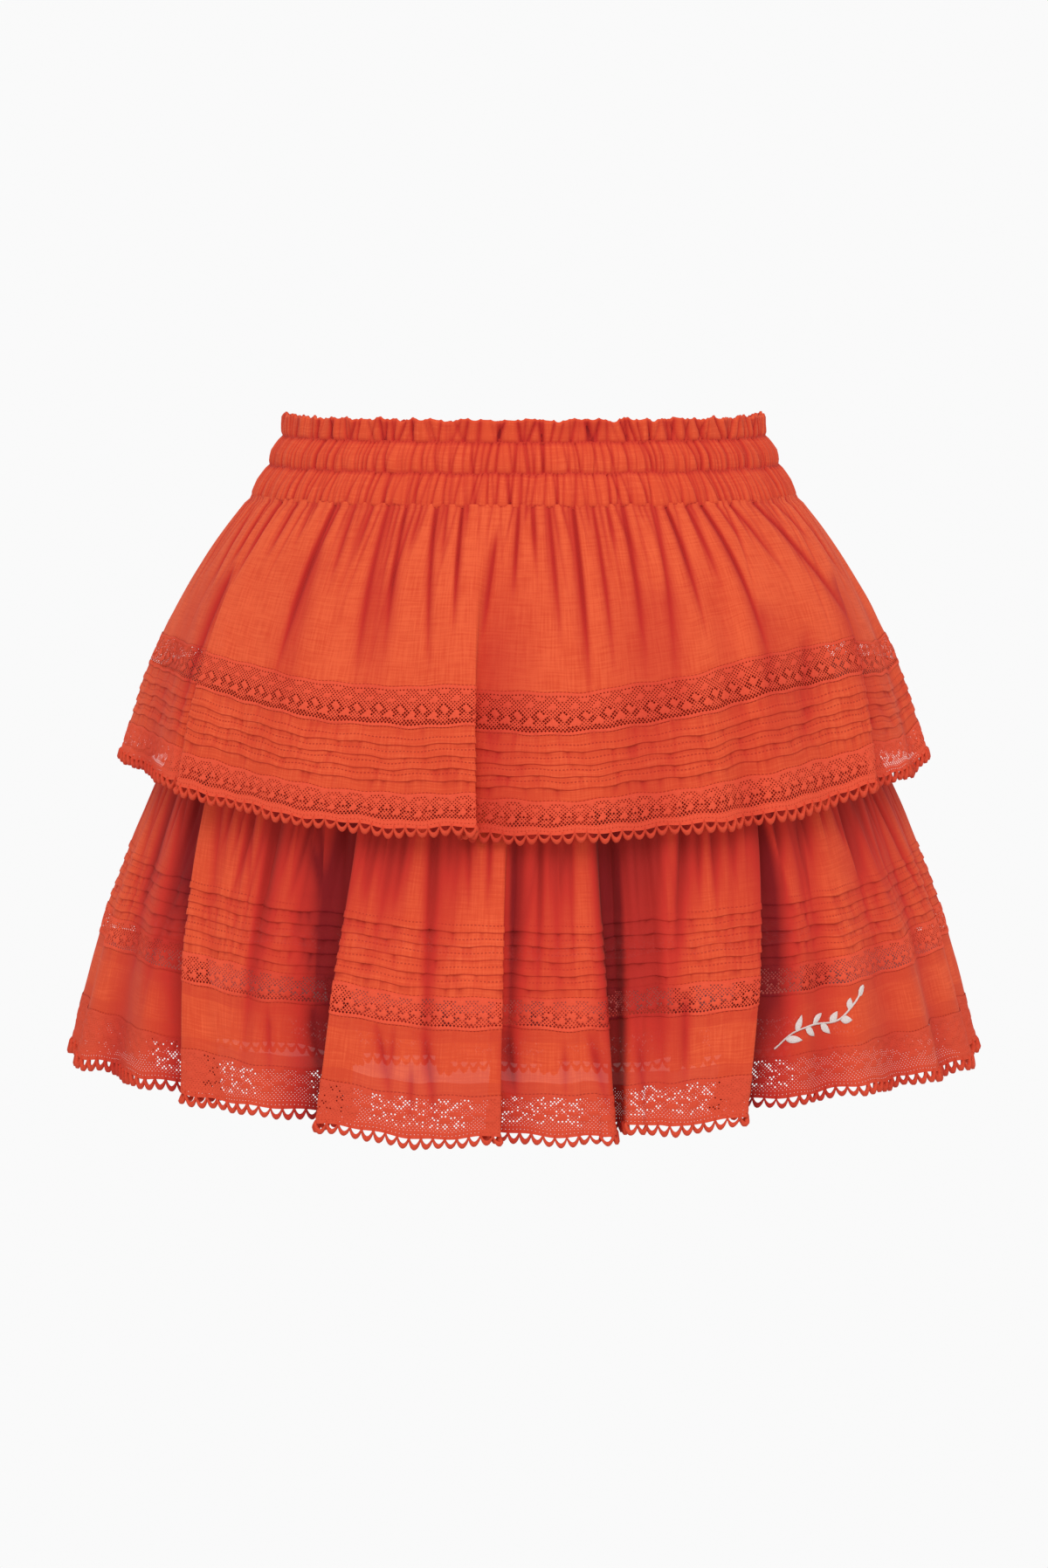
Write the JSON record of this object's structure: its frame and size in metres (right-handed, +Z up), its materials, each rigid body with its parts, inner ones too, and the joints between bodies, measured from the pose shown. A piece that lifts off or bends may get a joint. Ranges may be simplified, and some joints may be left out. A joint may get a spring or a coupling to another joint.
{
  "type": "tiered ruffle skirt",
  "caption": "Short pull-on skirt with an elastic waist and two gathered ruffle tiers, pin tucks, lace bands and picot lace hems, held hollow as it is worn.",
  "frame": {"origin": "the middle of the waist, level with the stitched line between the two elastic channels, where the wearer's waist holds the skirt", "axes": "+Z up, -Y to the front, +X to the right as the front is looked at"},
  "size_m": [0.4926, 0.3754, 0.3959],
  "materials": {
    "voile": "fine plain-weave cotton, matt with a faint sheen",
    "lace": "cotton lace, matt",
    "thread": "off-white embroidery thread, soft sheen"
  },
  "bodies": {
    "root": {"waistband": "voile", "yoke_front": "voile", "yoke_back": "voile", "upper_tier_front": "voile", "upper_tier_back": "voile", "upper_insertion_lace": "lace", "upper_tuck_band_front": "voile", "upper_tuck_band_back": "voile", "upper_edging_lace": "lace", "lower_tier_front": "voile", "lower_tier_back": "voile", "lower_insertion_lace": "lace", "lower_band_front": "voile", "lower_band_back": "voile", "lower_edging_lace": "lace"}
  },
  "joints": []
}
